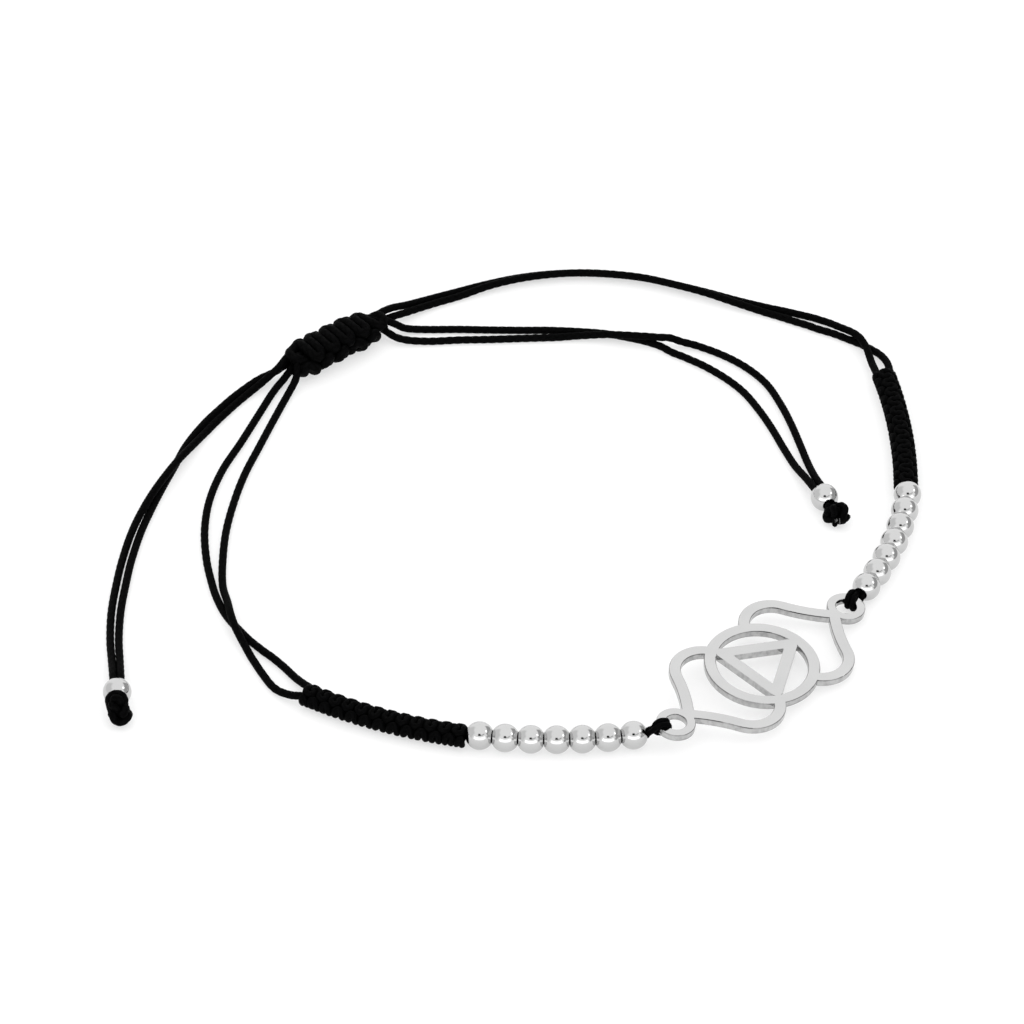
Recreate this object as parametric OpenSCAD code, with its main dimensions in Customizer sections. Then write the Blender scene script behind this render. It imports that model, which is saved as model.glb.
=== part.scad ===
// Cord bracelet with a pierced lotus connector, round beads, knotted bands
// and a sliding knot, lying flat as it is laid down. Millimetres, +Z up.
// The front with the connector faces -Y, the sliding knot is at the back.

/* [Cord] */
// Thickness of the bare cord
cord_d = 0.7; // [0.6:0.05:0.75]
// Thickness of the doubled thread where it is pressed into the beads
thread_d = 1.05; // [0.9:0.05:1.1]

/* [Beads] */
// Diameter of each round bead
bead_d = 2.5; // [2.3:0.05:2.6]
// Hole drilled through each bead
bead_bore = 1.25; // [1.2:0.01:1.3]
// Space left between neighbouring beads
bead_gap = 0.055; // [0.04:0.005:0.1]

/* [Connector] */
// Thickness of the cut plate
plate_t = 0.7; // [0.5:0.05:0.9]
// Width of the ring, triangle and petal bars
bar_w = 1.05; // [0.9:0.05:1.2]
// Outer radius of the middle ring
ring_r = 5.1; // [4.8:0.1:5.4]
// Distance from the middle of the triangle to the outside of its bars
triangle_reach = 2.4; // [2.2:0.05:2.6]
// Distance from the middle of the plate to each eyelet's hole
eyelet_reach = 11.1; // [10.9:0.1:11.3]
// Outer radius of each eyelet
eyelet_r = 1.72; // [1.6:0.02:1.8]
// Radius of each eyelet's hole
eyelet_hole_r = 0.92; // [0.85:0.01:1]

/* [Knots] */
// Width of the two knotted bands
band_w = 2.3; // [2:0.05:2.5]
// Thickness of the two knotted bands
band_t = 1.8; // [1.5:0.05:1.9]
// Length of one square knot in the left band
left_knot_pitch = 1.27; // [1.2:0.01:1.3]
// Length of one square knot in the right band
right_knot_pitch = 1.36; // [1.3:0.01:1.4]
// Width of the sliding knot
slider_w = 4.1; // [3.5:0.1:4.2]
// Thickness of the sliding knot
slider_t = 2.9; // [2.6:0.1:3.1]
// Length of one square knot in the sliding knot
slider_pitch = 1.6; // [1.5:0.02:1.7]

/* [Hidden] */

silver = [0.80, 0.80, 0.80];
black = [0.08, 0.08, 0.08];

// Space left between pieces that meet
seat = 0.05;
cord_r = cord_d / 2;
beads_per_side = 7;
bead_z = bead_d / 2;
// Length of a bead along its hole, and the step from bead to bead
bead_len = sqrt(bead_d * bead_d - bead_bore * bead_bore);
bead_step = bead_len + bead_gap;

// The plate's middle, its heading and its lean: it hangs a little askew
plate_at = [17.3, -23.2, 1.5];
plate_heading = 46;
plate_roll = 4;
plate_pitch = 2.5;

// Runs of beads and bands, each a level arc: x, y, heading, turn per mm
left_run = [7.2, -31.5, 191.2, -1.38];
right_run = [26.3, -13.6, 57.5, 1.7];
right_band_run = [31.2, 1.15, 87, 0.9];
first_bead_at = 1.25;
// Where the thread of each row leaves its hitch
left_thread_from = -0.15;
right_thread_from = 0.12;
row_len = first_bead_at + (beads_per_side - 1) * bead_step + bead_len / 2;
knots_per_band = 12;
band_z = 0.97;

// The sliding knot's middle and heading
slider_at = [-21.05, 21.5];
slider_heading = 37;
slider_knots = 6;
slider_len = slider_knots * slider_pitch;
slider_lift = 0.02;
slider_z = slider_t / 2 + slider_lift;

// Cords run in pairs. Each row is a point on the line midway between two cords:
// x, y, height of the lower cord above the surface, half the spacing of the two,
// and the roll of the pair (0 side by side, 90 one above the other)
left_loop = [
    [-24.9, 17.98, 0.68, 0.40, 75],
    [-25.25, 16.85, 0.38, 0.50, 15],
    [-26.0, 15.35, 0.08, 0.61, 0],
    [-27.1, 12.2, 0, 0.74, 0],
    [-28.5, 8.0, 0, 0.90, 0],
    [-29.9, 4.0, 0, 1.07, 0],
    [-30.8, 0, 0, 1.12, 0],
    [-31.2, -4.0, 0, 0.97, 0],
    [-31.1, -8.0, 0, 0.72, 0],
    [-30.7, -11.4, 0, 0.45, 0],
    [-30.1, -13.8, 0, 0.38, 30],
    [-29.3, -16.2, 0, 0.38, 90],
    [-28.1, -18.5, 0, 0.38, 150],
    [-26.8, -20.5, 0, 0.66, 180],
    [-25.5, -22.4, 0, 1.00, 180],
    [-24.35, -24.15, 0.05, 1.12, 180],
    [-23.4, -25.2, 0.30, 0.96, 180],
    [-22.6, -25.85, 0.57, 0.70, 180]
];
right_loop = [
    [-17.35, 24.95, 0.70, 0.40, 90],
    [-16.0, 26.2, 0.60, 0.40, 50],
    [-14.4, 27.45, 0.38, 0.48, 10],
    [-12.2, 28.8, 0.12, 0.44, 0],
    [-9.6, 30.0, 0, 0.39, -5],
    [-6.8, 31.2, 0, 0.38, -25],
    [-4.0, 32.15, 0, 0.38, -32],
    [-1.0, 32.75, 0, 0.38, -36],
    [2.0, 32.95, 0, 0.38, -40],
    [5.0, 32.75, 0, 0.38, -40],
    [8.0, 32.2, 0, 0.38, -40],
    [11.0, 31.15, 0, 0.38, -40],
    [14.0, 29.95, 0, 0.38, -35],
    [17.0, 28.6, 0, 0.38, -20],
    [19.8, 27.5, 0, 0.40, 0],
    [22.2, 26.5, 0, 0.56, 0],
    [24.3, 25.5, 0, 0.66, 0],
    [26.1, 24.3, 0, 0.42, 25],
    [27.8, 22.85, 0, 0.38, 80],
    [28.7, 21.75, 0.05, 0.38, 130],
    [29.35, 20.5, 0.2, 0.60, 165],
    [29.75, 19.2, 0.4, 0.70, 180],
    [30.0, 17.7, 0.57, 0.64, 180]
];
left_tail = [
    [-25.4, 18.85, 0.70, 0.40, 90],
    [-26.45, 17.65, 0.50, 0.40, 55],
    [-27.9, 16.75, 0.2, 0.38, 15],
    [-29.6, 15.05, 0, 0.38, 0],
    [-31.2, 12.8, 0, 0.40, 0],
    [-32.7, 10.4, 0, 0.40, 0],
    [-34.0, 7.8, 0, 0.38, 22],
    [-35.1, 5.0, 0, 0.38, 66],
    [-36.2, 2.2, 0, 0.38, 95],
    [-37.2, -0.6, 0, 0.38, 122],
    [-38.2, -4.0, 0, 0.38, 152],
    [-38.9, -7.6, 0, 0.41, 180],
    [-39.3, -11.2, 0, 0.42, 180],
    [-39.55, -14.8, 0, 0.41, 180],
    [-39.5, -18.4, 0.02, 0.39, 180],
    [-39.2, -21.6, 0.3, 0.38, 180],
    [-39.0, -23.6, 0.72, 0.37, 180],
    [-38.87, -25.1, 0.90, 0.36, 180]
];
right_tail = [
    [-16.67, 24.32, 0.68, 0.40, 80],
    [-16.0, 24.15, 0.52, 0.52, 35],
    [-15.0, 23.95, 0.28, 0.78, 5],
    [-13.8, 23.9, 0.08, 0.86, 0],
    [-12.0, 23.85, 0, 0.87, 0],
    [-9.5, 23.95, 0, 0.79, 0],
    [-6.5, 23.95, 0, 0.70, 0],
    [-3.5, 24.0, 0, 0.60, 0],
    [-0.5, 24.05, 0, 0.52, 0],
    [2.0, 24.0, 0, 0.40, -12],
    [4.3, 23.78, 0, 0.38, -34],
    [6.4, 23.3, 0, 0.38, -56],
    [8.0, 22.88, 0, 0.38, -78],
    [9.4, 22.45, 0, 0.42, -115],
    [10.8, 21.95, 0, 0.74, -165],
    [12.8, 21.1, 0, 1.08, -180],
    [15.7, 18.95, 0, 1.24, -180],
    [17.9, 16.35, 0, 1.24, -180],
    [19.3, 13.4, 0, 1.10, -180],
    [20.3, 10.6, 0, 0.95, -180],
    [21.15, 7.7, 0, 0.80, -180],
    [21.9, 5.1, 0.1, 0.62, -180],
    [22.6, 2.8, 0.55, 0.42, -180],
    [23.35, 0.7, 0.90, 0.36, -180]
];
rings_per_span = 2;
cord_sides = 8;

// Beads on the loose ends: x, y, heading of the hole
left_tail_bead = [-38.8, -26.25, -86];
right_tail_bead = [23.75, -0.4, -70];

// How far the cord in the hole of a tail bead runs on into its knot
stem_into_knot = 0.5;

// Lumps of an end knot: distance past the bead's face, offset across, height, radius
left_end_lumps = [[0.55, -0.15, 1.5, 1.0], [1.45, 0.2, 1.0, 1.0], [1.4, 0.6, 0.85, 0.75]];
right_end_lumps = [[0.75, -0.1, 1.6, 0.7], [1.4, 0.6, 1.15, 0.95], [1.05, -0.35, 0.8, 0.75]];

function unit(v) = v / norm(v);

// Point and heading at a distance along an arc run
function run_heading(run, s) = run[2] + run[3] * s;
function run_point(run, s, z) =
    let (h0 = run[2], h1 = run_heading(run, s), k = run[3] * PI / 180)
    [run[0] + (sin(h1) - sin(h0)) / k, run[1] - (cos(h1) - cos(h0)) / k, z];

// Curve through rows of any width
function blend(a, b, c, d, t) =
    0.5 * (2 * b + (c - a) * t + (2 * a - 5 * b + 4 * c - d) * t * t
        + (3 * b - a - 3 * c + d) * t * t * t);
function row_at(rows, i) =
    i < 0 ? 2 * rows[0] - rows[1]
    : i >= len(rows) ? 2 * rows[len(rows) - 1] - rows[len(rows) - 2]
    : rows[i];
function smooth_rows(rows, steps) = [
    for (i = [0 : len(rows) - 2], j = [0 : steps - 1])
        blend(row_at(rows, i - 1), rows[i], rows[i + 1], row_at(rows, i + 2), j / steps),
    rows[len(rows) - 1]
];

// One cord of a pair: side is 1 or -1
function strand(rows, side) =
    let (mid = smooth_rows(rows, rings_per_span), last = len(mid) - 1)
    [for (i = [0 : last])
        let (q = mid[i],
             d = mid[min(i + 1, last)] - mid[max(i - 1, 0)],
             n = unit([-d[1], d[0]]),
             across = side * q[3] * cos(q[4]),
             rise = q[3] * (abs(sin(q[4])) + side * sin(q[4])))
        [q[0] + across * n[0], q[1] + across * n[1], q[2] + cord_r + rise]];

// Cross-section frame of a path at point i: direction, level side, upper side
function path_dir(path, i) = unit(path[min(i + 1, len(path) - 1)] - path[max(i - 1, 0)]);
function path_side(path, i) = unit(cross([0, 0, 1], path_dir(path, i)));
function path_top(path, i) = cross(path_dir(path, i), path_side(path, i));

// Closed skin over rings of points, every ring with the same number of sides
module skin(rings) {
    sides = len(rings[0]);
    last = len(rings) - 1;
    walls = [
        for (i = [0 : last - 1], k = [0 : sides - 1])
            let (m = (k + 1) % sides, a = i * sides, b = (i + 1) * sides)
            each [[a + k, b + k, b + m], [a + k, b + m, a + m]]
    ];
    start = [for (k = [1 : sides - 2]) [0, k, k + 1]];
    end = [for (k = [1 : sides - 2]) [last * sides, last * sides + k + 1, last * sides + k]];
    polyhedron(points = [for (ring = rings) each ring], faces = concat(walls, start, end));
}

// Round tube along a path
module tube(path, r, sides) {
    skin([
        for (i = [0 : len(path) - 1])
            let (u = path_side(path, i), v = path_top(path, i))
            [for (k = [0 : sides - 1])
                let (a = 360 * (k + 0.5) / sides)
                path[i] + r * (cos(a) * u + sin(a) * v)]
    ]);
}

// Knotted band: lumps along both edges, set half a knot apart, and bars across.
// Each depth is a share of the band's own width or thickness
lump_depth = 0.15;
lump_sharpness = 1.5;
bar_depth = 0.04;
end_size = 0.8;
function lump(phase) = 1 - lump_depth * pow(1 - abs(sin(180 * phase)), lump_sharpness);
module knotted(path, knots, w, t, sides) {
    last = len(path) - 1;
    skin([
        for (i = [0 : last])
            let (u = path_side(path, i), v = path_top(path, i),
                 phase = knots * i / last,
                 bar = 1 - bar_depth * (1 - abs(sin(360 * phase))),
                 close = i == 0 || i == last ? end_size : 1)
            [for (k = [0 : sides - 1])
                let (a = 360 * (k + 0.5) / sides,
                     edge = cos(a) > 0 ? lump(phase) : lump(phase + 0.5))
                path[i] + close * (w / 2 * edge * cos(a) * u + t / 2 * bar * sin(a) * v)]
    ]);
}

// A drilled round bead with its hole along X
module drilled_bead() {
    rotate([0, 90, 0]) difference() {
        sphere(d = bead_d, $fn = 96);
        cylinder(d = bead_bore, h = 2 * bead_d, center = true, $fn = 96);
    }
}

module row_bead(run, i) {
    s = first_bead_at + (i - 1) * bead_step;
    color(silver)
        translate(run_point(run, s, bead_z)) rotate([0, 0, run_heading(run, s)]) drilled_bead();
}

module tail_bead(at) {
    color(silver) translate([at[0], at[1], bead_z]) rotate([0, 0, at[2]]) drilled_bead();
}

// Plate outline. One petal bar: a round shoulder that starts inside the ring's wall,
// then a long slope to the eyelet
shoulder_at = [4.5, 2.65];
shoulder_r = 2.65;
shoulder_from = 152;
shoulder_to = 26;
shoulder_step = 7;
slope_r = 15;
slope_turn = 18;
slope_step = 3;
function shoulder(a) = shoulder_at + shoulder_r * [cos(a), sin(a)];
// The slope bends the other way, so its centre lies on the far side of the bar
slope_at = shoulder(shoulder_to) + slope_r * [cos(shoulder_to), sin(shoulder_to)];
function slope(a) = slope_at - slope_r * [cos(a), sin(a)];
petal_line = [
    for (a = [shoulder_from : -shoulder_step : shoulder_to]) shoulder(a),
    for (a = [shoulder_to + slope_step : slope_step : shoulder_to + slope_turn]) slope(a)
];
function line_normal(line, i) =
    let (d = unit(line[min(i + 1, len(line) - 1)] - line[max(i - 1, 0)])) [-d[1], d[0]];
module bar_outline(line, w) {
    last = len(line) - 1;
    polygon([
        for (i = [0 : last]) line[i] + w / 2 * line_normal(line, i),
        for (i = [last : -1 : 0]) line[i] - w / 2 * line_normal(line, i)
    ]);
}
module triangle_outline(reach, shift) {
    polygon([for (a = [0, 120, 240]) [shift, 0] + 2 * reach * [cos(a), sin(a)]]);
}
triangle_shift = 0.15;
module ring_outline(outer, inner) {
    difference() {
        circle(r = outer, $fn = 96);
        circle(r = inner, $fn = 96);
    }
}
module cut_from_sheet() { translate([0, 0, -plate_t / 2]) linear_extrude(plate_t) children(); }
module ring() { cut_from_sheet() ring_outline(ring_r, ring_r - bar_w); }
module triangle() {
    cut_from_sheet() difference() {
        intersection() {
            triangle_outline(triangle_reach, triangle_shift);
            circle(r = ring_r - bar_w / 2, $fn = 96);
        }
        triangle_outline(triangle_reach - bar_w, triangle_shift);
    }
}
// A quarter of the petals, from the ring to the middle of the eyelet's wall
module petal_bar() {
    cut_from_sheet() difference() {
        bar_outline(petal_line, bar_w);
        circle(r = ring_r - bar_w / 2, $fn = 96);
        translate([eyelet_reach, 0]) circle(r = (eyelet_r + eyelet_hole_r) / 2, $fn = 64);
    }
}
module eyelet() { cut_from_sheet() ring_outline(eyelet_r, eyelet_hole_r); }
module on_plate() {
    translate(plate_at) rotate([0, 0, plate_heading]) rotate([plate_roll, plate_pitch, 0]) children();
}
module pendant() {
    color(silver) on_plate() {
        ring();
        triangle();
        for (x = [0, 1], y = [0, 1]) mirror([x, 0, 0]) mirror([0, y, 0]) petal_bar();
        for (x = [-1, 1]) translate([x * eyelet_reach, 0, 0]) eyelet();
    }
}

// Cord hitched through an eyelet: it wraps the eyelet's bar on all sides
tie_w = 1.1;
tie_in = 0.42;
tie_out = 2.12;
tie_wrap = 0.45;
tie_round = 0.3;
// Turn of each tie about its eyelet, towards the first bead
left_tie_turn = 142;
right_tie_turn = 13;
module rounded_box_outline(x0, x1, z) {
    translate([x0, -z + tie_round]) square([x1 - x0, 2 * (z - tie_round)]);
    translate([x0 + tie_round, -z]) square([x1 - x0 - 2 * tie_round, 2 * z]);
    for (x = [x0 + tie_round, x1 - tie_round], y = [-1, 1])
        translate([x, y * (z - tie_round)]) circle(r = tie_round, $fn = 32);
}
module ring_tie(side, turn) {
    half = plate_t / 2 + seat;
    color(black) on_plate() translate([side * eyelet_reach, 0, 0]) rotate([0, 0, turn])
        difference() {
            rotate([90, 0, 0]) linear_extrude(tie_w, center = true)
                rounded_box_outline(tie_in, tie_out, half + tie_wrap);
            difference() {
                cylinder(r = eyelet_r + seat, h = 2 * half, center = true, $fn = 64);
                cylinder(r = eyelet_hole_r - seat, h = 4 * half, center = true, $fn = 64);
            }
        }
}

// Thread through the beads of one side, from the hitch to the band
module thread(run, from) {
    steps = 2 * beads_per_side;
    reach = row_len - from;
    color(black)
        tube([for (i = [0 : steps]) run_point(run, from + reach * i / steps, bead_z)],
            thread_d / 2, cord_sides);
}

band_rings_per_knot = 6;
band_sides = 14;
module band(run, from, pitch) {
    steps = knots_per_band * band_rings_per_knot;
    reach = knots_per_band * pitch;
    color(black)
        knotted([for (i = [0 : steps]) run_point(run, from + reach * i / steps, band_z)],
            knots_per_band, band_w, band_t, band_sides);
}

slider_rings_per_knot = 8;
slider_sides = 16;
module sliding_knot() {
    steps = slider_knots * slider_rings_per_knot;
    dir = [cos(slider_heading), sin(slider_heading)];
    color(black)
        knotted([for (i = [0 : steps])
            let (p = slider_at + slider_len * (i / steps - 0.5) * dir) [p[0], p[1], slider_z]],
            slider_knots, slider_w, slider_t, slider_sides);
}

module cord(rows, side) {
    color(black) tube(strand(rows, side), cord_r, cord_sides);
}

// Knot behind a tail bead: a few merged lumps that cup the bead's face, with the
// cord running back into the hole
module end_knot(at, lumps) {
    color(black) translate([at[0], at[1], 0]) rotate([0, 0, at[2]]) {
        translate([-bead_len / 2 + seat, 0, bead_z]) rotate([0, 90, 0])
            cylinder(d = thread_d, h = bead_len + stem_into_knot, $fn = 64);
        difference() {
            for (p = lumps)
                translate([bead_len / 2 + p[0], p[1], p[2]]) sphere(r = p[3], $fn = 64);
            translate([0, 0, bead_z]) rotate([0, 90, 0]) sphere(d = bead_d + 2 * seat, $fn = 96);
        }
    }
}

pendant();
row_bead(left_run, 1);  // bead_left_1
row_bead(left_run, 2);  // bead_left_2
row_bead(left_run, 3);  // bead_left_3
row_bead(left_run, 4);  // bead_left_4
row_bead(left_run, 5);  // bead_left_5
row_bead(left_run, 6);  // bead_left_6
row_bead(left_run, 7);  // bead_left_7
row_bead(right_run, 1);  // bead_right_1
row_bead(right_run, 2);  // bead_right_2
row_bead(right_run, 3);  // bead_right_3
row_bead(right_run, 4);  // bead_right_4
row_bead(right_run, 5);  // bead_right_5
row_bead(right_run, 6);  // bead_right_6
row_bead(right_run, 7);  // bead_right_7
tail_bead(left_tail_bead);  // tail_bead_left
tail_bead(right_tail_bead);  // tail_bead_right
thread(left_run, left_thread_from);  // thread_left
thread(right_run, right_thread_from);  // thread_right
ring_tie(-1, left_tie_turn);  // ring_tie_left
ring_tie(1, right_tie_turn);  // ring_tie_right
band(left_run, row_len + seat, left_knot_pitch);  // band_left
band(right_band_run, 0, right_knot_pitch);  // band_right
sliding_knot();
cord(left_loop, 1);  // loop_cord_left_a
cord(left_loop, -1);  // loop_cord_left_b
cord(right_loop, 1);  // loop_cord_right_a
cord(right_loop, -1);  // loop_cord_right_b
cord(left_tail, 1);  // tail_cord_left_a
cord(left_tail, -1);  // tail_cord_left_b
cord(right_tail, 1);  // tail_cord_right_a
cord(right_tail, -1);  // tail_cord_right_b
end_knot(left_tail_bead, left_end_lumps);  // end_knot_left
end_knot(right_tail_bead, right_end_lumps);  // end_knot_right
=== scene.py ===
"""Looks of an adjustable cord bracelet with silver beads and a pierced silver connector.

It is put together here in the order of the table that it lies on, the bare cords, the knotted
bands, the sliding knot, the beads on their threads, the connector with its ties, and the loose
ends. Everything is in metres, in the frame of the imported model."""

import math

import bpy
import numpy as np
from mathutils import Matrix, Vector


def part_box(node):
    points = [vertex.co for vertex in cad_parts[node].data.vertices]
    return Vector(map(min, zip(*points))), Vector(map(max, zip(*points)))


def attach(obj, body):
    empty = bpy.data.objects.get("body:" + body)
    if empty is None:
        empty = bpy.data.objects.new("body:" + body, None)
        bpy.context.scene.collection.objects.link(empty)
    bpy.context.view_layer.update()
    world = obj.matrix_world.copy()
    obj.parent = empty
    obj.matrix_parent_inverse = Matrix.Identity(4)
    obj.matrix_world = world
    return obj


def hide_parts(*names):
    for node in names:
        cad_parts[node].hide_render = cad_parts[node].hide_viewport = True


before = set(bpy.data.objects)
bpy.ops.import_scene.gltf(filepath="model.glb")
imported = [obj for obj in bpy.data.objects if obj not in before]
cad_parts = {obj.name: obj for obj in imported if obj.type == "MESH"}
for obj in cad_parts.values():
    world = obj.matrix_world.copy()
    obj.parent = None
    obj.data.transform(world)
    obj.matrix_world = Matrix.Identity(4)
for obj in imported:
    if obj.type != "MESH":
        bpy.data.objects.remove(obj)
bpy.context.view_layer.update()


# Table, light and camera
# A white table lit from below, in a white cloth tent. The tent is open in front, where the camera
# looks in, with a strip lamp under the opening, a small lamp at the right and two greyer walls.
look_at = Vector((-0.0045, -0.001, 0))
camera_distance = 0.5
camera_elevation = math.radians(41)
lens_mm = 194.3
table_white = (0.38, 0.38, 0.38, 1)
table_glow = 0.58
table_size = 3.0
tent_white = 1.28
below_table = 0.9
# Places in the tent: middle and half width, middle and half height (degrees), edge, brightness
tent_places = {
    "left_wall": (-100, 38, 24, 26, 8, 0.95),
    "right_wall": (108, 36, 17, 17, 4, 0.5),
    "right_corner": (66, 6, 10, 8, 3, 0.45),
    "front_opening": (30, 28, 43, 4, 2, 0.6),
    "strip_lamp": (0, 48, 17, 10, 2.5, 2.4),
    "camera_front": (-2, 15, 49, 8, 2, 0.0),
    "small_lamp": (92, 5, 40, 5, 2, 7.0),
}
overhead_lamp = 0.55
overhead_spread = math.radians(100)

camera = bpy.data.objects.new("camera", bpy.data.cameras.new("camera"))
bpy.context.collection.objects.link(camera)
towards_camera = Vector((0, -math.cos(camera_elevation), math.sin(camera_elevation)))
camera.location = look_at + camera_distance * towards_camera
camera.rotation_euler = (math.pi / 2 - camera_elevation, 0, 0)
camera.data.lens = lens_mm
camera.data.sensor_width = 36
camera.data.clip_start = 0.01
camera.data.clip_end = 10
bpy.context.scene.camera = camera
bpy.context.scene.view_settings.view_transform = "Standard"


class Wire:
    """A value on its way through the nodes of a finish. Sums with it add Math nodes."""

    def __init__(self, tree, socket=None):
        self.tree = tree
        self.socket = socket

    def node(self, kind, settings, sockets, out=0):
        made = self.tree.nodes.new(kind)
        for name, value in settings.items():
            if name == "stops":
                made.color_ramp.elements[0].position, made.color_ramp.elements[0].color = value[0]
                made.color_ramp.elements[1].position, made.color_ramp.elements[1].color = value[-1]
                for place, colour in value[1:-1]:
                    made.color_ramp.elements.new(place).color = colour
            else:
                setattr(made, name, value)
        for name, value in sockets.items():
            if isinstance(value, Wire):
                self.tree.links.new(value.socket, made.inputs[name])
            else:
                made.inputs[name].default_value = value
        return Wire(self.tree, made.outputs[out])

    def maths(self, operation, first, second=0.0):
        return self.node("ShaderNodeMath", {"operation": operation}, {0: first, 1: second})

    def __add__(self, other):
        return self.maths("ADD", self, other)

    __radd__ = __add__

    def __sub__(self, other):
        return self.maths("SUBTRACT", self, other)

    def __rsub__(self, other):
        return self.maths("SUBTRACT", other, self)

    def __mul__(self, other):
        return self.maths("MULTIPLY", self, other)

    __rmul__ = __mul__

    def __mod__(self, other):
        return self.maths("FLOORED_MODULO", self, other)

    def floor(self):
        return self.maths("FLOOR", self)

    def sine(self):
        return self.maths("SINE", self)

    def size(self):
        return self.maths("ABSOLUTE", self)

    def over(self, limit):
        return self.maths("GREATER_THAN", self, limit)


world = bpy.data.worlds.new("tent")
world.use_nodes = True
bpy.context.scene.world = world
tent = world.node_tree.nodes["Background"]
tent.inputs["Strength"].default_value = tent_white
to_tent = Wire(world.node_tree).node("ShaderNodeTexCoord", {}, {}, "Generated")
split = [to_tent.node("ShaderNodeSeparateXYZ", {}, {0: to_tent}, k) for k in range(3)]
around = to_tent.maths("ARCTAN2", split[0], 0 - split[1])
upward = to_tent.maths("ARCSINE", split[2])
brightness = to_tent.node(
    "ShaderNodeMix", {}, {"Factor": upward.over(0), "A": below_table, "B": 1.0}
)
for middle, half_width, level, half_height, soft, bright in tent_places.values():
    inside = 1.0
    edge = math.radians(soft)
    for angle, centre, half in ((around, middle, half_width), (upward, level, half_height)):
        beyond = (angle - math.radians(centre)).size() - math.radians(half)
        inside = inside * to_tent.node(
            "ShaderNodeMapRange",
            {"interpolation_type": "SMOOTHSTEP"},
            {"Value": beyond, "From Min": -edge, "From Max": edge, "To Min": 1.0, "To Max": 0.0},
        )
    brightness = to_tent.node(
        "ShaderNodeMix", {}, {"Factor": inside, "A": brightness, "B": bright / tent_white}
    )
world.node_tree.links.new(brightness.socket, tent.inputs["Color"])

lamp = bpy.data.objects.new("overhead_lamp", bpy.data.lights.new("overhead_lamp", "SUN"))
lamp.data.energy = overhead_lamp
lamp.data.angle = overhead_spread
lamp.visible_glossy = False
bpy.context.collection.objects.link(lamp)

bpy.ops.mesh.primitive_plane_add(size=table_size)
table = bpy.context.object
table.name = "table"
table_paint = bpy.data.materials.new("table_paint")
table_paint.use_nodes = True
for socket, value in (
    ("Base Color", table_white),
    ("Roughness", 0.9),
    ("Emission Color", (1, 1, 1, 1)),
    ("Emission Strength", table_glow),
):
    table_paint.node_tree.nodes["Principled BSDF"].inputs[socket].default_value = value
table.data.materials.append(table_paint)


# Bare cords
# Black waxed cord, 0.7 mm thick, plaited from eight strands. Two cords run from each knotted band
# to the sliding knot and out of its other end. They lie loose on the table.
cord_thick = 0.0007
cord_sides = 16
plait_strands = 4
plait_length = 0.0008
plait_relief = 0.1
plait_mean = 0.6
tip_share = 0.02
filaments_per_strand = 7
filament_relief = 0.12
wax_relief = 0.3
strand_tone = 0.8
wax_scale = 900.0
relief_depth = 0.00003
# Painted shade in the grooves of the plait, and the lighter black of its worn crests
groove_shade_black = (0.0002, 0.0002, 0.0002, 1)
worn_black = (0.0013, 0.0013, 0.0014, 1)
cord_roughness = 0.72
waxed_smoother = 0.25
cord_specular = 0.02
nearly_upright = 0.9
curve_steps = 12
ring_step = 0.0001
into_knot = 0.0012
into_bead = 0.001
# Midway between two cords: x, y, height of the lower cord, half their spacing, roll in degrees
left_loop = [
    (-0.02472, 0.01790, 0.00068, 0.00050, 50), (-0.02511, 0.01681, 0.00038, 0.00060, 12),
    (-0.02591, 0.01533, 0.00008, 0.00070, 0), (-0.02706, 0.01219, 0, 0.00078, 0),
    (-0.02850, 0.00800, 0, 0.00090, 0), (-0.02990, 0.00400, 0, 0.00107, 0),
    (-0.03080, 0, 0, 0.00112, 0), (-0.03120, -0.00400, 0, 0.00097, 0),
    (-0.03110, -0.00800, 0, 0.00072, 0), (-0.03070, -0.01140, 0, 0.00045, 0),
    (-0.03010, -0.01380, 0, 0.00038, 30), (-0.02930, -0.01620, 0, 0.00038, 90),
    (-0.02810, -0.01850, 0, 0.00038, 150), (-0.02680, -0.02050, 0, 0.00066, 180),
    (-0.02550, -0.02240, 0, 0.00100, 180), (-0.02435, -0.02415, 0.00005, 0.00112, 180),
    (-0.02340, -0.02520, 0.00030, 0.00096, 180), (-0.02260, -0.02585, 0.00057, 0.00070, 180),
]
right_loop = [
    (-0.01735, 0.02485, 0.00070, 0.00040, 90), (-0.01600, 0.02606, 0.00060, 0.00040, 50),
    (-0.01440, 0.02732, 0.00038, 0.00044, 10), (-0.01220, 0.02874, 0.00012, 0.00041, 0),
    (-0.00960, 0.03000, 0, 0.00039, -5), (-0.00680, 0.03120, 0, 0.00038, -25),
    (-0.00400, 0.03215, 0, 0.00038, -32), (-0.00100, 0.03275, 0, 0.00038, -36),
    (0.00200, 0.03295, 0, 0.00038, -40), (0.00500, 0.03275, 0, 0.00038, -40),
    (0.00800, 0.03220, 0, 0.00038, -40), (0.01100, 0.03115, 0, 0.00038, -40),
    (0.01400, 0.02995, 0, 0.00038, -35), (0.01700, 0.02860, 0, 0.00038, -20),
    (0.01980, 0.02750, 0, 0.00040, 0), (0.02220, 0.02650, 0, 0.00056, 0),
    (0.02430, 0.02550, 0, 0.00066, 0), (0.02610, 0.02430, 0, 0.00042, 25),
    (0.02780, 0.02285, 0, 0.00038, 80), (0.02870, 0.02175, 0.00005, 0.00038, 130),
    (0.02935, 0.02050, 0.00020, 0.00060, 165), (0.02975, 0.01920, 0.00040, 0.00070, 180),
    (0.03000, 0.01770, 0.00057, 0.00064, 180),
]
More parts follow.
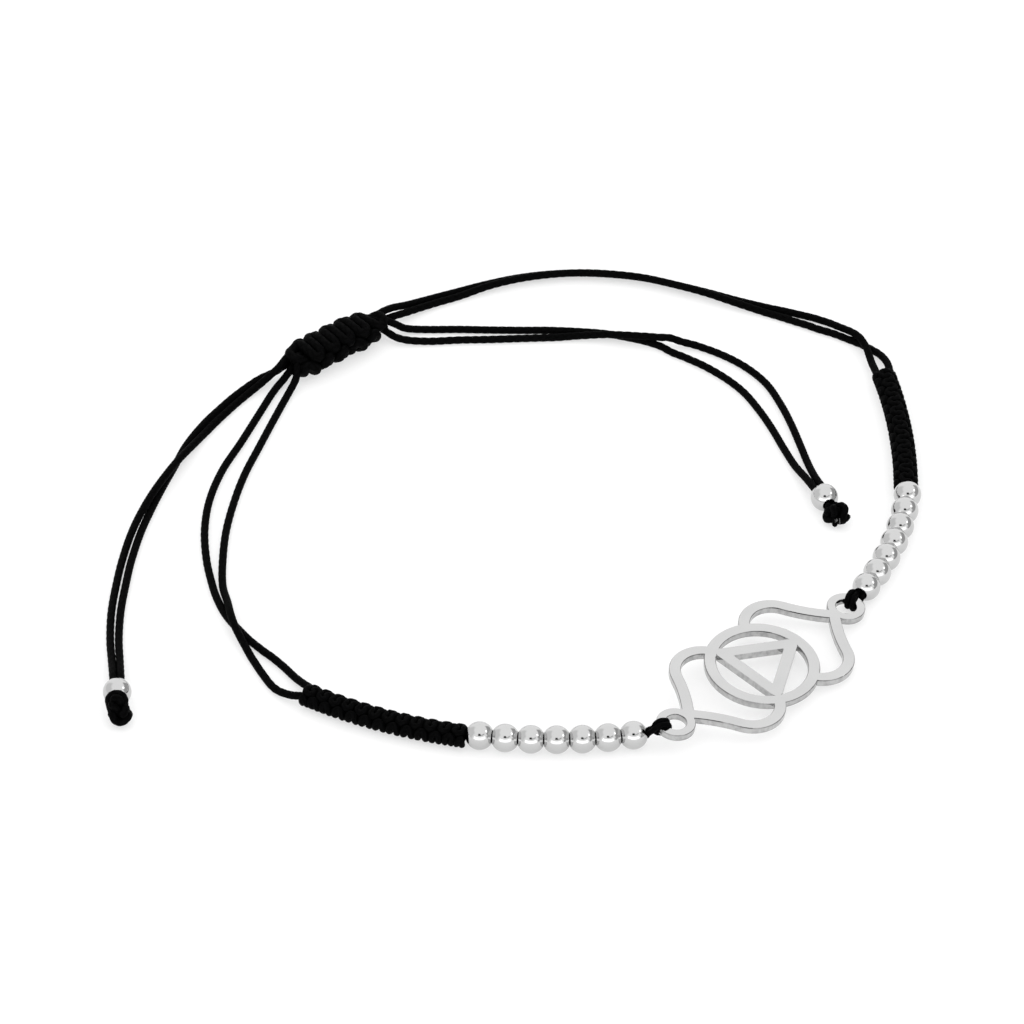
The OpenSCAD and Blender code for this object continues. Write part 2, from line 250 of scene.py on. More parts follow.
left_tail = [
    (-0.02540, 0.01885, 0.00070, 0.00040, 90), (-0.02645, 0.01765, 0.00050, 0.00040, 55),
    (-0.02790, 0.01675, 0.00020, 0.00038, 15), (-0.02960, 0.01505, 0, 0.00038, 0),
    (-0.03120, 0.01280, 0, 0.00040, 0), (-0.03270, 0.01040, 0, 0.00040, 0),
    (-0.03400, 0.00780, 0, 0.00038, 22), (-0.03510, 0.00500, 0, 0.00038, 66),
    (-0.03620, 0.00220, 0, 0.00038, 95), (-0.03720, -0.00060, 0, 0.00038, 122),
    (-0.03820, -0.00400, 0, 0.00038, 152), (-0.03890, -0.00760, 0, 0.00041, 180),
    (-0.03930, -0.01120, 0, 0.00042, 180), (-0.03955, -0.01480, 0, 0.00041, 180),
    (-0.03950, -0.01840, 0.00002, 0.00038, 180), (-0.03920, -0.02160, 0.00030, 0.00035, 180),
    (-0.03900, -0.02360, 0.00072, 0.00033, 180), (-0.03887, -0.02510, 0.00090, 0.00033, 180),
]
right_tail = [
    (-0.01667, 0.02425, 0.00068, 0.00040, 80), (-0.01600, 0.02403, 0.00052, 0.00052, 35),
    (-0.01500, 0.02384, 0.00028, 0.00078, 5), (-0.01380, 0.02382, 0.00008, 0.00086, 0),
    (-0.01200, 0.02385, 0, 0.00087, 0), (-0.00950, 0.02395, 0, 0.00079, 0),
    (-0.00650, 0.02395, 0, 0.00070, 0), (-0.00350, 0.02400, 0, 0.00060, 0),
    (-0.00050, 0.02405, 0, 0.00052, 0), (0.00200, 0.02400, 0, 0.00040, -12),
    (0.00430, 0.02378, 0, 0.00038, -34), (0.00640, 0.02330, 0, 0.00038, -56),
    (0.00800, 0.02288, 0, 0.00038, -78), (0.00940, 0.02245, 0, 0.00042, -115),
    (0.01080, 0.02195, 0, 0.00074, -165), (0.01280, 0.02110, 0, 0.00108, -180),
    (0.01570, 0.01895, 0, 0.00124, -180), (0.01790, 0.01635, 0, 0.00124, -180),
    (0.01930, 0.01340, 0, 0.00110, -180), (0.02030, 0.01060, 0, 0.00095, -180),
    (0.02115, 0.00770, 0, 0.00080, -180), (0.02190, 0.00510, 0.00010, 0.00062, -180),
    (0.02260, 0.00280, 0.00055, 0.00042, -180), (0.02335, 0.00070, 0.00090, 0.00036, -180),
]


def along(line):
    """Distance of each point of a line from its start."""
    return np.concatenate([[0], np.cumsum(np.linalg.norm(np.diff(line, axis=0), axis=1))])


def evenly(line, step):
    """The same line with its points that far apart."""
    at = along(line)
    places = np.linspace(0, at[-1], max(2, round(at[-1] / step) + 1))
    return np.stack([np.interp(places, at, line[:, k]) for k in range(line.shape[1])], axis=1)


def through(rows, steps):
    """A smooth curve through rows of numbers."""
    rows = np.array(rows, float)
    rows = np.vstack([2 * rows[0] - rows[1], rows, 2 * rows[-1] - rows[-2]])
    t = np.linspace(0, 1, steps, endpoint=False)[:, None]
    spans = [
        0.5 * (
            2 * b + (c - a) * t + (2 * a - 5 * b + 4 * c - d) * t**2
            + (3 * b - a - 3 * c + d) * t**3
        )
        for a, b, c, d in zip(rows, rows[1:], rows[2:], rows[3:])
    ]
    return np.vstack([*spans, rows[-2:-1]])


def one_of_pair(rows, side):
    """The line of one cord of a pair, side 1 or -1."""
    mid = through(rows, curve_steps)
    ahead = np.gradient(mid[:, :2], axis=0)
    across = np.stack([-ahead[:, 1], ahead[:, 0]], axis=1)
    across /= np.linalg.norm(across, axis=1)[:, None]
    half, roll = mid[:, 3], np.radians(mid[:, 4])
    height = mid[:, 2] + cord_thick / 2 + half * (np.abs(np.sin(roll)) + side * np.sin(roll))
    return np.column_stack([mid[:, :2] + (side * half * np.cos(roll))[:, None] * across, height])


def longer(line, start, end):
    """The line with its two ends run straight on by those lengths."""
    first, last = line[0] - line[1], line[-1] - line[-2]
    before = line[0] + first / np.linalg.norm(first) * start
    after = line[-1] + last / np.linalg.norm(last) * end
    return np.vstack([before, line, after])


def plait(turn, distance):
    """Height of the plaited strands, from 0 to 1, at a turn round a cord and a distance along it."""
    one_way = plait_strands * turn + distance / plait_length
    other_way = plait_strands * turn - distance / plait_length
    swap = (np.floor(one_way) + np.floor(other_way)) % 2
    return np.abs(np.sin(np.pi * np.where(swap < 0.5, one_way, other_way)))


def frames_on(line):
    """Two directions square to the line at each point, which never twist about it."""
    ahead = np.gradient(line, axis=0)
    ahead /= np.linalg.norm(ahead, axis=1)[:, None]
    upright = abs(ahead[0][2]) > nearly_upright
    side = np.cross(ahead[0], (1, 0, 0) if upright else (0, 0, 1))
    sides = []
    for direction in ahead:
        side = side - direction * (side @ direction)
        side /= np.linalg.norm(side)
        sides.append(side)
    sides = np.array(sides)
    return sides, np.cross(ahead, sides)


def plaited_cords(name, lines, thick, finish):
    """One object that holds a plaited cord along each line, with rounded ends."""
    points, faces, lay = [], [], []
    for line in lines:
        line = evenly(np.array(line, float), ring_step)
        at = along(line)
        side, top = frames_on(line)
        turns = np.arange(cord_sides) / cord_sides
        angle = 2 * np.pi * turns
        end = np.minimum(at, at[-1] - at) / (thick / 2)
        close = np.sqrt(np.clip(1 - np.clip(1 - end, 0, 1) ** 2, tip_share, 1))
        radius = thick / 2 * close[:, None] * (
            1 + plait_relief * (plait(turns[None, :], at[:, None]) - plait_mean)
        )
        ring = line[:, None, :] + radius[:, :, None] * (
            np.cos(angle)[None, :, None] * side[:, None, :]
            + np.sin(angle)[None, :, None] * top[:, None, :]
        )
        first = sum(len(p) for p in points)
        i, k = np.meshgrid(np.arange(len(line) - 1), np.arange(cord_sides), indexing="ij")
        corners = [(i, k), (i, k + 1), (i + 1, k + 1), (i + 1, k)]
        numbers = [place * cord_sides + turn % cord_sides for place, turn in corners]
        faces += (first + np.stack(numbers, axis=-1).reshape(-1, 4)).tolist()
        lay_there = [np.stack([at[place], turn / cord_sides], axis=-1) for place, turn in corners]
        lay.append(np.stack(lay_there, axis=2).reshape(-1, 2))
        last = first + (len(line) - 1) * cord_sides
        faces.append(list(range(first + cord_sides - 1, first - 1, -1)))
        faces.append(list(range(last, last + cord_sides)))
        lay.append(np.zeros((2 * cord_sides, 2)))
        points.append(ring.reshape(-1, 3))
    mesh = bpy.data.meshes.new(name)
    mesh.from_pydata(np.vstack(points).tolist(), [], faces)
    mesh.uv_layers.new(name="lay").data.foreach_set("uv", np.vstack(lay).astype(np.float32).ravel())
    mesh.shade_smooth()
    mesh.materials.append(finish)
    made = bpy.data.objects.new(name, mesh)
    bpy.context.collection.objects.link(made)
    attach(made, "root")
    return made


def waxed_cord():
    """Black waxed polyester: a plait of strands, and fine filaments along each strand."""
    finish = bpy.data.materials.new("waxed_cord")
    finish.use_nodes = True
    shader = finish.node_tree.nodes["Principled BSDF"]
    lay = Wire(finish.node_tree).node("ShaderNodeUVMap", {"uv_map": "lay"}, {})
    distance = lay.node("ShaderNodeSeparateXYZ", {}, {0: lay}, 0)
    turn = lay.node("ShaderNodeSeparateXYZ", {}, {0: lay}, 1)
    one_way = turn * plait_strands + distance * (1 / plait_length)
    other_way = turn * plait_strands - distance * (1 / plait_length)
    swap = (one_way.floor() + other_way.floor()) % 2.0
    strand = one_way * (1 - swap) + other_way * swap
    height = (strand * math.pi).sine().size()
    filaments = (strand * (2 * math.pi * filaments_per_strand)).sine()
    wax = lay.node("ShaderNodeTexNoise", {}, {"Scale": wax_scale, "Detail": 3.0}, 0)
    relief = height + filaments * filament_relief + wax * wax_relief
    bump = lay.node(
        "ShaderNodeBump", {}, {"Strength": 0.6, "Distance": relief_depth, "Height": relief}
    )
    # Base colour: painted shade in the grooves between the strands, lighter where the crests are
    # worn and in random waxy spots.
    tone = lay.node(
        "ShaderNodeValToRGB",
        {"stops": [(0.15, groove_shade_black), (1.0, worn_black)]},
        {0: height * strand_tone + wax * wax_relief},
    )
    rough = cord_roughness - wax * waxed_smoother
    finish.node_tree.links.new(tone.socket, shader.inputs["Base Color"])
    finish.node_tree.links.new(rough.socket, shader.inputs["Roughness"])
    finish.node_tree.links.new(bump.socket, shader.inputs["Normal"])
    shader.inputs["Specular IOR Level"].default_value = cord_specular
    return finish


cord_black = waxed_cord()
loose_cords = {}
for place, rows, end in (
    ("loop_cord_left", left_loop, into_knot),
    ("loop_cord_right", right_loop, into_knot),
    ("tail_cord_left", left_tail, into_bead),
    ("tail_cord_right", right_tail, into_bead),
):
    for letter, side in (("a", 1), ("b", -1)):
        node = f"{place}_{letter}"
        line = evenly(longer(one_of_pair(rows, side), into_knot, end), ring_step)
        strand = plaited_cords(f"plaited_{node}", [line], cord_thick, cord_black)
        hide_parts(node)
        loose_cords[node] = (strand, line)
for place in ("loop_cord_left", "loop_cord_right"):
    for letter in "ab":
        strand, line = loose_cords[f"{place}_{letter}"]


# Knotted bands
# Behind each row of beads comes a band of twelve square knots: a front cord and a back cord are
# knotted in turn round the two cords of the loop, which run on straight inside them.
knots_per_band = 12
knotting_thick = 0.00058
band_form = dict(
    half_width=0.00115, half_depth=0.0009, squareness=2.4, thick=knotting_thick,
    front_reach=0.8, front_side=0.6, least_tuck=0.3, under=0.25,
)
band_cores = [(-0.00036, 0), (0.00036, 0)]
band_height = 0.00097
row_length = 0.015653
beads_to_band = 0.00005
knot_points = 24
# A level arc: x, y, heading in degrees, degrees of turn for each metre
left_run = (0.0072, -0.0315, 191.2, -1380)
right_run = (0.0263, -0.0136, 57.5, 1700)
right_band_run = (0.0312, 0.00115, 87, 900)


def on_run(run, points):
    """Points given as across, along and height, bent onto a level arc."""
    x, y, first, turn = run
    bend = math.radians(turn)
    start = math.radians(first)
    heading = start + bend * points[:, 1]
    east = x + (np.sin(heading) - math.sin(start)) / bend - points[:, 0] * np.sin(heading)
    north = y - (np.cos(heading) - math.cos(start)) / bend + points[:, 0] * np.cos(heading)
    return np.column_stack([east, north, points[:, 2]])


def pull_tight(lines, thicknesses, hold, still=(), rounds=70):
    """Lets the cords of a knot push each other aside till they only just press together.

    hold keeps them within the room that the knot has, and the cords listed in still don't move."""
    rounds_per_look, reach_of_look, next_to_it = 20, 1.7, 6
    push_share, straighten_share, return_share = 0.9, 0.25, 0.02
    sizes = [len(line) for line in lines]
    start = np.vstack(lines)
    points = start.copy()
    owner = np.repeat(np.arange(len(lines)), sizes)
    order = np.concatenate([np.arange(n) for n in sizes])
    radius = np.array(thicknesses)[owner] / 2
    free = ~np.isin(owner, still)
    inner = free & (order > 0) & (order < np.array(sizes)[owner] - 1)
    next_in_line = np.abs(order[:, None] - order[None, :]) < next_to_it
    next_in_line &= owner[:, None] == owner[None, :]
    for k in range(rounds):
        if k % rounds_per_look == 0:
            gap = np.linalg.norm(points[:, None, :] - points[None, :, :], axis=2)
            near = gap < (radius[:, None] + radius[None, :]) * reach_of_look
            one, two = np.nonzero(near & ~next_in_line)
        apart = points[one] - points[two]
        far = np.linalg.norm(apart, axis=1) + 1e-9
        push = np.clip(radius[one] + radius[two] - far, 0, None)
        touching = np.maximum(np.bincount(one, push > 0, len(points)), 1)
        move = [np.bincount(one, apart[:, c] / far * push, len(points)) / touching for c in range(3)]
        points[free] += push_share * np.column_stack(move)[free]
        middle = (np.roll(points, 1, axis=0) + np.roll(points, -1, axis=0)) / 2
        points[inner] += straighten_share * (middle - points)[inner]
        points[free] += return_share * (start - points)[free]
        points[free] = hold(points, radius)[free]
    return np.split(points, np.cumsum(sizes)[:-1])


def shrunk(points, taper, sink):
    """Points drawn in towards the y axis by the share that taper gives, and lower there by sink."""
    share = np.interp(points[:, 1], *zip(*taper))
    lower = sink * (1 - share)
    return np.column_stack([points[:, 0] * share, points[:, 1], points[:, 2] * share - lower])


def square_knots(
    knots, pitch, cores, half_width, half_depth, squareness, thick, front_reach, front_side,
    least_tuck, under=0.0, taper=((0, 1),), sink=0,
):
    """Front cord, back cord and core cords of a row of square knots, as across, along, height.

    The front cord goes out to front_reach of the width and comes down to front_side of the height
    there. The cords' ends are drawn in to least_tuck of the width. With under they go on round by
    that share of a half knot, to end beneath the core."""
    front_sway, back_sway, tucked_depth = 0.08, 0.42, 0.8
    halves = round(2 * knots)
    length = knots * pitch
    t = np.linspace(0.5 - under, halves + 0.5 + under, halves * knot_points + 1)
    turn = np.pi * (t - 1)
    reach = half_width - thick / 2
    rise = half_depth - thick / 2
    from_end = np.minimum(t - t[0], t[-1] - t)
    if under:
        lift = np.clip(from_end / under, 0, 1)
        tuck = least_tuck + (1 - least_tuck) * lift
        drop = tucked_depth * rise * (1 - lift)
    else:
        lift = tuck = np.clip(from_end / 0.5, least_tuck, 1)
        drop = 0
    front = np.column_stack([
        front_reach * reach * tuck * np.sin(turn),
        (t - 0.5 - front_sway * np.sin(2 * np.pi * t)) * pitch / 2,
        rise * lift * (1 + front_side + (1 - front_side) * np.cos(2 * turn)) / 2 - drop,
    ])
    back = np.column_stack([
        -reach * tuck * np.sin(turn),
        (t - 0.5 - back_sway * np.sin(2 * np.pi * t)) * pitch / 2,
        -rise * lift * np.cos(2 * turn) - drop,
    ])
    for cord in (front, back):
        cord[:, 1] = np.clip(cord[:, 1], thick / 2, length - thick / 2)
    step = thick / 5
    straight = [evenly(np.array([(x, 0, z), (x, length, z)]), step) for x, z in cores]
    lines = [evenly(shrunk(cord, taper, sink), step) for cord in (front, back)]
    lines += [shrunk(core, taper, sink) for core in straight]

    def in_oval(points, radius):
        share = np.interp(points[:, 1], *zip(*taper))
        lower = sink * (1 - share)
        x, z = points[:, 0], points[:, 2] + lower
        out = np.abs(x / (half_width * share - radius)) ** squareness
        out += np.abs(z / (half_depth * share - radius)) ** squareness
        back_in = np.maximum(out, 1) ** (-1 / squareness)
        y = np.clip(points[:, 1], radius, length - radius) if under else points[:, 1]
        return np.column_stack([x * back_in, y, z * back_in - lower])

    thicknesses = [thick, thick] + [cord_thick] * len(cores)
    return pull_tight(lines, thicknesses, in_oval, range(2, len(lines)))


def smooth(line, rounds=2):
    """The line with its small corners evened out, between the same two ends."""
    for _ in range(rounds):
        line[1:-1] = (line[:-2] + 2 * line[1:-1] + line[2:]) / 4
    return line


for node, run, pitch, start in (
    ("band_left", left_run, 0.00127, row_length + beads_to_band),
    ("band_right", right_band_run, 0.00136, 0),
):
    lines = square_knots(knots_per_band, pitch, band_cores, **band_form)
    placed = [on_run(run, through(smooth(line), 3) + (0, start, band_height)) for line in lines]
    band = plaited_cords(f"knotted_{node}", placed, knotting_thick, cord_black)
    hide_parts(node)


# Sliding knot
# Square knots of thicker cord round all four cords of the loop, tight enough to stay and loose
# enough to slide, so that the bracelet can be drawn in. Its right end is slimmer.
slider_knots = 5.5
slider_pitch = 0.0016
slider_thick = 0.00095
# Distance from the left end, and share of the full width there
slider_taper = ((0, 0.82), (0.0008, 1), (0.0064, 1), (0.0076, 0.9), (0.0088, 0.68))
slider_form = dict(
    half_width=0.0022, half_depth=0.00145, squareness=2.8, thick=slider_thick,
    front_reach=0.96, front_side=0.1, least_tuck=0.25, taper=slider_taper, sink=0.0002,
)
slider_core = 0.00036
slider_cores = [(x * slider_core, z * slider_core) for x in (-1, 1) for z in (-1, 1)]
slider_middle = (-0.02083, 0.02147, 0.00147)
slider_heading = math.radians(38.2)


def put(place, points):
    """Points taken to the place that a matrix gives."""
    place = np.array(place)
    return points @ place[:3, :3].T + place[:3, 3]


place = Matrix.Translation(slider_middle) @ Matrix.Rotation(slider_heading - math.pi / 2, 4, "Z")
placed = []
for line in square_knots(slider_knots, slider_pitch, slider_cores, **slider_form):
    mirrored = through(smooth(line), 3) * (-1, 1, 1)
    placed.append(put(place, mirrored - (0, slider_knots * slider_pitch / 2, 0)))
slider = plaited_cords("knotted_slider", placed[:2], slider_thick, cord_black)
slider_inside = plaited_cords("slider_core_cords", placed[2:], cord_thick, cord_black)
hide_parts("sliding_knot")


# Beads and their threads
# Seven round silver beads on each side, drilled through, with a small round lip at both ends of
# the hole. The two cords of the loop run side by side through the holes.
bead_radius = 0.00125
bore_radius = 0.000575
lip_radius = 0.00003
bead_height = 0.00125
first_bead_at = 0.00125
bead_step = 0.00222
beads_per_row = 7
bead_sides = 56
ball_steps = 33
lip_steps = 7
haze_scale = 260.0
wiping_scale = 2200.0
hazy_silver = (0.515, 0.515, 0.515, 1)
bright_silver = (0.56, 0.56, 0.558, 1)
silver_roughness = 0.03
haze_roughness = 0.06
wiping_roughness = 0.03
wiping_depth = 0.000004
threaded_thick = 0.00055
thread_half_gap = 0.00024
thread_twist = 0.009
thread_step = 0.0002


def polished_silver(name):
    """Polished silver with hair-fine wiping marks and a faint haze that comes and goes."""
    finish = bpy.data.materials.new(name)
    finish.use_nodes = True
    shader = finish.node_tree.nodes["Principled BSDF"]
    place = Wire(finish.node_tree).node("ShaderNodeTexCoord", {}, {}, "Object")
    haze = place.node(
        "ShaderNodeTexNoise", {}, {"Vector": place, "Scale": haze_scale, "Detail": 4.0}, 0
    )
    stretched = place.node(
        "ShaderNodeMapping", {}, {"Vector": place, "Rotation": (0.3, 0.2, 0.9), "Scale": (1, 14, 4)}
    )
    wiping = place.node(
        "ShaderNodeTexNoise", {}, {"Vector": stretched, "Scale": wiping_scale, "Detail": 2.0}, 0
    )
    rough = silver_roughness + haze * haze_roughness + wiping * wiping_roughness
    tone = place.node(
        "ShaderNodeValToRGB", {"stops": [(0.3, hazy_silver), (0.8, bright_silver)]}, {0: haze}
    )
    bump = place.node(
        "ShaderNodeBump",
        {},
        {"Strength": 0.25, "Distance": wiping_depth, "Height": wiping + haze * 2},
    )
    finish.node_tree.links.new(tone.socket, shader.inputs["Base Color"])
    finish.node_tree.links.new(rough.socket, shader.inputs["Roughness"])
    finish.node_tree.links.new(bump.socket, shader.inputs["Normal"])
    shader.inputs["Metallic"].default_value = 1
    return finish


def bead_profile():
    """Half the outline of a bead, as places along the hole and radii, from lip to lip and back."""
    lip_at = math.sqrt((bead_radius - lip_radius) ** 2 - (bore_radius + lip_radius) ** 2)
    first = math.atan2(bore_radius + lip_radius, lip_at)
    ball = [
        (bead_radius * math.cos(a), bead_radius * math.sin(a))
        for a in np.linspace(first, math.pi - first, ball_steps)
    ]
    lip = [
        (lip_at + lip_radius * math.cos(a), bore_radius + lip_radius + lip_radius * math.sin(a))
        for a in np.linspace(first, -math.pi / 2, lip_steps)[1:]
    ]
    return ball + [(-x, r) for x, r in lip] + lip[::-1]


def turned_bead(name, node, heading):
    """A bead turned on a lathe about its hole, in place of a node."""
    low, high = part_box(node)
    outline = bead_profile()
    angles = np.arange(bead_sides) * 2 * math.pi / bead_sides
    points = [(x, r * math.cos(a), r * math.sin(a)) for x, r in outline for a in angles]
    faces = []
    for i in range(len(outline)):
        ring, next_ring = i * bead_sides, (i + 1) % len(outline) * bead_sides
        for k in range(bead_sides):
            m = (k + 1) % bead_sides
            faces.append((ring + k, ring + m, next_ring + m, next_ring + k))
    mesh = bpy.data.meshes.new(name)
    mesh.from_pydata(points, [], faces)
    mesh.transform(Matrix.Translation((low + high) / 2) @ Matrix.Rotation(heading, 4, "Z"))
    mesh.shade_smooth()
    mesh.materials.append(silver)
    bead = bpy.data.objects.new(name, mesh)
    bpy.context.collection.objects.link(bead)
    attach(bead, "root")
    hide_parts(node)
    return bead


silver = polished_silver("polished_silver")
for side, run, thread_from in (("left", left_run, -0.00015), ("right", right_run, 0.00012)):
    for i in range(beads_per_row):
        heading = math.radians(run[2] + run[3] * (first_bead_at + i * bead_step))
        turned_bead(f"silver_bead_{side}_{i + 1}", f"bead_{side}_{i + 1}", heading)
    at = np.arange(thread_from, row_length, thread_step)
    lines = []
    for start in (0, math.pi):
        turn = start + 2 * math.pi * at / thread_twist
        across, height = thread_half_gap * np.cos(turn), thread_half_gap * np.sin(turn)
        lines.append(on_run(run, np.column_stack([across, at, bead_height + height])))
    thread = plaited_cords(f"plaited_thread_{side}", lines, threaded_thick, cord_black)
    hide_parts(f"thread_{side}")


# Connector
# One silver plate, cut through to a ring with a triangle in it, two petals on each side and an
# eyelet at each end. File marks stay on its walls. Painted shade darkens walls and rounded edges.
edge_round = 0.0001
edge_steps = 3
weld_distance = 0.000002
# Painted shade: the share of the silver's tone kept on upright walls and on their rounded edges
painted_wall_shade = 0.96
painted_edge_shade = 0.55
stain_tone = 0.76
stain_scale = 2600.0
top_from = 0.9


def grey(share):
    """A grey from 0, black, to 1, white."""
    return share, share, share, 1


def silver_with_painted_shade():
    """Polished silver, darker in random spots, with painted shade on upright walls and their edges.
    """
    finish = polished_silver("silver_with_painted_shade")
    shader = finish.node_tree.nodes["Principled BSDF"]
    tone = Wire(finish.node_tree, shader.inputs["Base Color"].links[0].from_socket)
    facing = tone.node("ShaderNodeNewGeometry", {}, {}, "Normal")
    upward = tone.node("ShaderNodeSeparateXYZ", {}, {0: facing}, 2).size()
    # Painted shade by the way the surface faces: tops keep their tone, upright walls are a little
    # darker and the rounded edges between them are darkest.
    shares = ((0.1, painted_wall_shade), (0.25, painted_edge_shade), (0.75, painted_edge_shade), (0.93, 1.0))
    edges = tone.node(
        "ShaderNodeValToRGB", {"stops": [(at, grey(share)) for at, share in shares]}, {0: upward}
    )
    place = tone.node("ShaderNodeTexCoord", {}, {}, "Object")
    upright = tone.node("ShaderNodeMapping", {}, {"Vector": place, "Scale": (1, 1, 0.6)})
    spots = tone.node(
        "ShaderNodeTexNoise", {}, {"Vector": upright, "Scale": stain_scale, "Detail": 3.0}, 0
    )
    stains = tone.node(
        "ShaderNodeValToRGB",
        {"stops": [(0.34, grey(stain_tone)), (0.6, grey(1))]},
        {0: spots + upward.over(top_from)},
    )
    shaded = tone.node("ShaderNodeVectorMath", {"operation": "MULTIPLY"}, {0: tone, 1: edges})
    shaded = tone.node("ShaderNodeVectorMath", {"operation": "MULTIPLY"}, {0: shaded, 1: stains})
    finish.node_tree.links.new(shaded.socket, shader.inputs["Base Color"])
    return finish


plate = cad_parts["pendant"]
plate.data.materials.clear()
plate.data.materials.append(silver_with_painted_shade())
weld = plate.modifiers.new("weld", "WELD")
weld.merge_threshold = weld_distance
edge = plate.modifiers.new("polished_edge", "BEVEL")
edge.width = edge_round
edge.segments = edge_steps
edge.limit_method = "ANGLE"
edge.angle_limit = math.radians(50)
edge.use_clamp_overlap = False


# Ties
# At each eyelet one cord comes out of the first bead, goes twice round the eyelet's bar and back
# into the bead.
plate_middle = (0.0173, -0.0232, 0.0015)
plate_heading, plate_dip, plate_roll = (math.radians(degrees) for degrees in (46, 2.5, 4))
eyelet_reach = 0.0111
eyelet_bar_middle = 0.00132
tie_thick = 0.0005
tie_half_reach = 0.00064
tie_half_height = 0.0006
tie_step_aside = 0.00044
tie_squareness = 0.7
tie_from, tie_to = 60, 680
tie_points = 60
tie_start = 0.0003
tie_in_bead = 0.0006


def squarer(wave):
    """A wave that stays longer near its two extremes."""
    return np.sign(wave) * np.abs(wave) ** tie_squareness


plate_place = (
    Matrix.Translation(plate_middle)
    @ Matrix.Rotation(plate_heading, 4, "Z")
    @ Matrix.Rotation(plate_dip, 4, "Y")
    @ Matrix.Rotation(plate_roll, 4, "X")
)
# End of the plate, and where on the eyelet its bar is taken, in degrees
for side, end, turn, run in (("left", -1, 150, left_run), ("right", 1, 13, right_run)):
    eyelet = (
        plate_place
        @ Matrix.Translation((end * eyelet_reach, 0, 0))
        @ Matrix.Rotation(math.radians(turn), 4, "Z")
    )
    angle = np.radians(np.linspace(tie_from, tie_to, tie_points))
    out = eyelet_bar_middle + tie_half_reach * squarer(np.cos(angle))
    aside = np.linspace(tie_step_aside, -tie_step_aside, tie_points)
    wraps = np.column_stack([out, aside, tie_half_height * squarer(np.sin(angle))])
    in_bead = on_run(run, np.array([
        (across * thread_half_gap, tie_start + inside, bead_height)
        for across, inside in ((1, tie_in_bead), (1, 0), (-1, 0), (-1, tie_in_bead))
    ]))
    line = through(np.vstack([in_bead[:2], put(eyelet, wraps), in_bead[2:]]), 4)
    line = smooth(evenly(line, ring_step), 6)
    tie = plaited_cords(f"plaited_tie_{side}", [line], tie_thick, cord_black)
    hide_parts(f"ring_tie_{side}")


# Loose ends
# On each pair of loose cords sits one more bead. Behind it both cords are tied in one small hard
# overhand knot, which keeps it there, and are cut off close, frayed a little at the right.
bead_face = 0.0010825
knot_line_points = 120
knot_rounds = 60
least_room = 0.00002
press_on_bead = 0.9
worn_filament = (0.12, 0.12, 0.12, 1)
# Lumps that the knot fills: distance behind the bead's face, offset, height, radius
left_lumps = [
    (0.00055, -0.00005, 0.00156, 0.00108), (0.00161, 0.00021, 0.00113, 0.00108),
    (0.00135, 0.0007, 0.00071, 0.0006), (0.00146, 0.00034, 0.00081, 0.0006),
]
right_lumps = [
    (0.00073, 0.00005, 0.00123, 0.00084), (0.00137, 0.00052, 0.00118, 0.00103),
    (0.00097, -0.00026, 0.00077, 0.00076), (0.00131, -0.00027, 0.00174, 0.00053),
]
cut_end = [(0.0016, -0.00005, 0.0008), (0.00187, -0.00018, 0.00058), (0.0021, -0.00029, 0.00036)]
cut_end_thick = 0.00048
filaments = [
    [(0.00225, 0.00008, 0.00144), (0.0023, 0.0001, 0.001), (0.0022, 0.00016, 0.0006)],
    [(0.00215, -0.00017, 0.0014), (0.00222, -0.0001, 0.0012), (0.0022, -0.00014, 0.00105)],
    [(0.002, -0.0003, 0.00115), (0.00213, -0.0002, 0.00118), (0.00222, -0.0001, 0.00128)],
    [(0.00205, -0.00028, 0.0009), (0.00214, -0.00022, 0.001), (0.00222, -0.00018, 0.00118)],
]
filament_thick = 0.00006


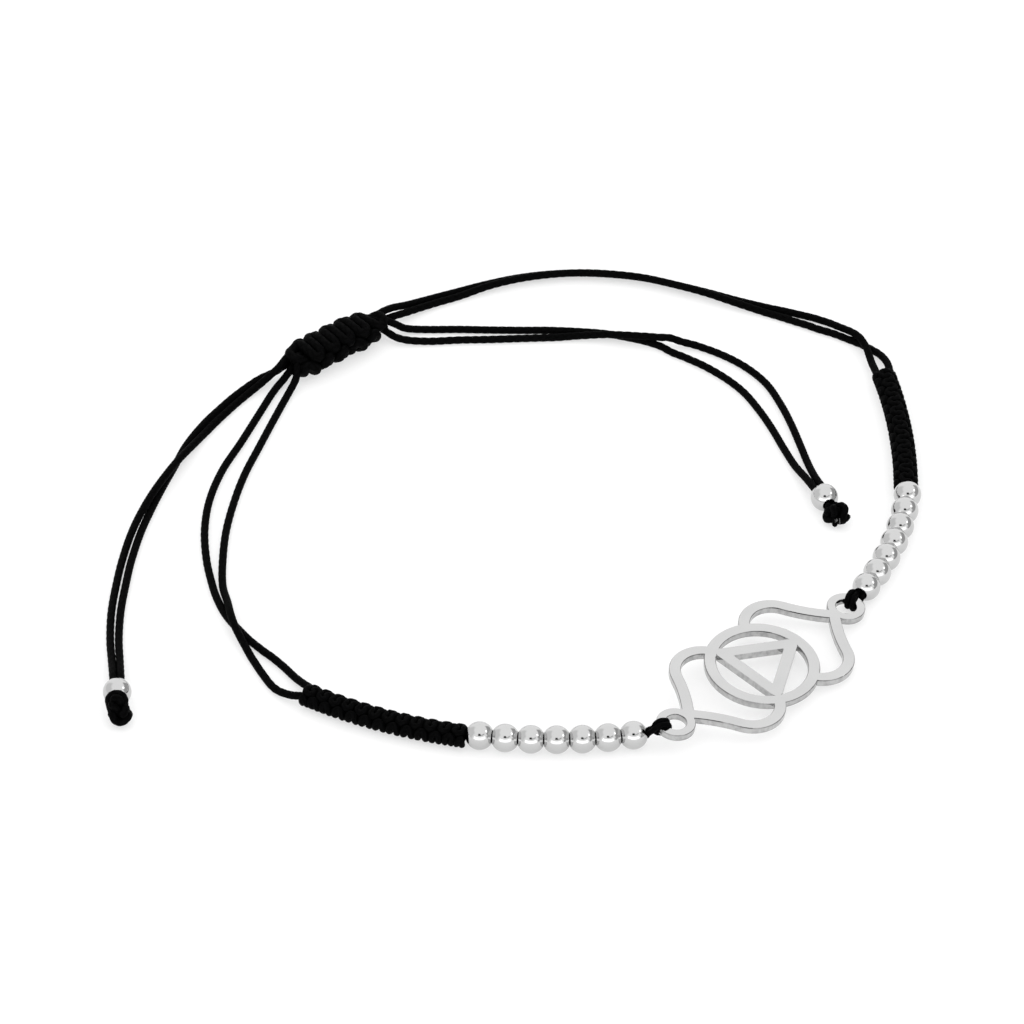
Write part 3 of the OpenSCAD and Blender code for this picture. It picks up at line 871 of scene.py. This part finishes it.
def overhand_knot(lumps, thick, scale, flatness, span, roll):
    """Two cords side by side in one overhand knot along x, pulled tight into the lumps."""
    t = np.linspace(-span, span, knot_line_points)
    middle = np.column_stack([t**3 - 3 * t, t**4 - 4 * t**2 + 1.6, flatness * (t**5 - 10 * t)])
    middle *= scale
    aside = np.cross(np.gradient(middle, axis=0), (0, 0, 1))
    aside *= thick / 2 / np.linalg.norm(aside, axis=1)[:, None]
    rolled = np.array(Matrix.Rotation(roll, 3, "X"))
    lumps = np.array(lumps)
    centre = np.average(lumps[:, :3], axis=0, weights=lumps[:, 3] ** 3)
    lines = [evenly(middle + k * aside, thick / 5) @ rolled.T + centre for k in (1, -1)]
    bead = np.array([-bead_face, 0, bead_height])

    def in_lumps(points, radius):
        away = points[:, None, :] - lumps[None, :, :3]
        far = np.linalg.norm(away, axis=2) + 1e-9
        room = np.maximum(lumps[None, :, 3] - radius[:, None], least_room)
        rows = np.arange(len(points))
        best = np.argmin(far - room, axis=1)
        pull = np.minimum(1, room[rows, best] / far[rows, best])
        held = lumps[best, :3] + away[rows, best] * pull[:, None] - bead
        clear = (bead_radius + press_on_bead * radius) / np.linalg.norm(held, axis=1)
        held *= np.maximum(1, clear)[:, None]
        held += bead
        held[:, 2] = np.maximum(held[:, 2], radius)
        return held

    return pull_tight(lines, [thick, thick], in_lumps, rounds=knot_rounds)


def bare_filament():
    """Polyester filament with the dye and the wax worn off."""
    finish = bpy.data.materials.new("bare_filament")
    finish.use_nodes = True
    shader = finish.node_tree.nodes["Principled BSDF"]
    shader.inputs["Base Color"].default_value = worn_filament
    shader.inputs["Roughness"].default_value = 0.6
    return finish


# Middle of the bead, heading in degrees, lumps, and the knot's thick, scale, flatness, span, roll
for side, middle, heading, lumps, shape in (
    ("left", (-0.0388, -0.02625, 0), -86, left_lumps, (0.000687, 0.000391, 0.2465, 1.905, 3.374)),
    ("right", (0.02375, -0.0004, 0), -70, right_lumps, (0.000636, 0.000421, -0.2661, 2.003, 0.925)),
):
    heading = math.radians(heading)
    place = (
        Matrix.Translation(middle)
        @ Matrix.Rotation(heading, 4, "Z")
        @ Matrix.Translation((bead_face, 0, 0))
    )
    knotted, cut, frayed = (
        [put(place, through(line, 3)) for line in lines]
        for lines in (overhand_knot(lumps, *shape), [cut_end], filaments)
    )
    tail_bead = turned_bead(f"silver_tail_bead_{side}", f"tail_bead_{side}", heading)
    knot = plaited_cords(f"end_knot_cord_{side}", knotted, shape[0], cord_black)
    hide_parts(f"end_knot_{side}")
    pieces = [tail_bead, knot]
    if side == "right":
        pieces += [
            plaited_cords("cut_end_right", cut, cut_end_thick, cord_black),
            plaited_cords("frayed_filaments_right", frayed, filament_thick, bare_filament()),
        ]
    for letter in "ab":
        strand, line = loose_cords[f"tail_cord_{side}_{letter}"]
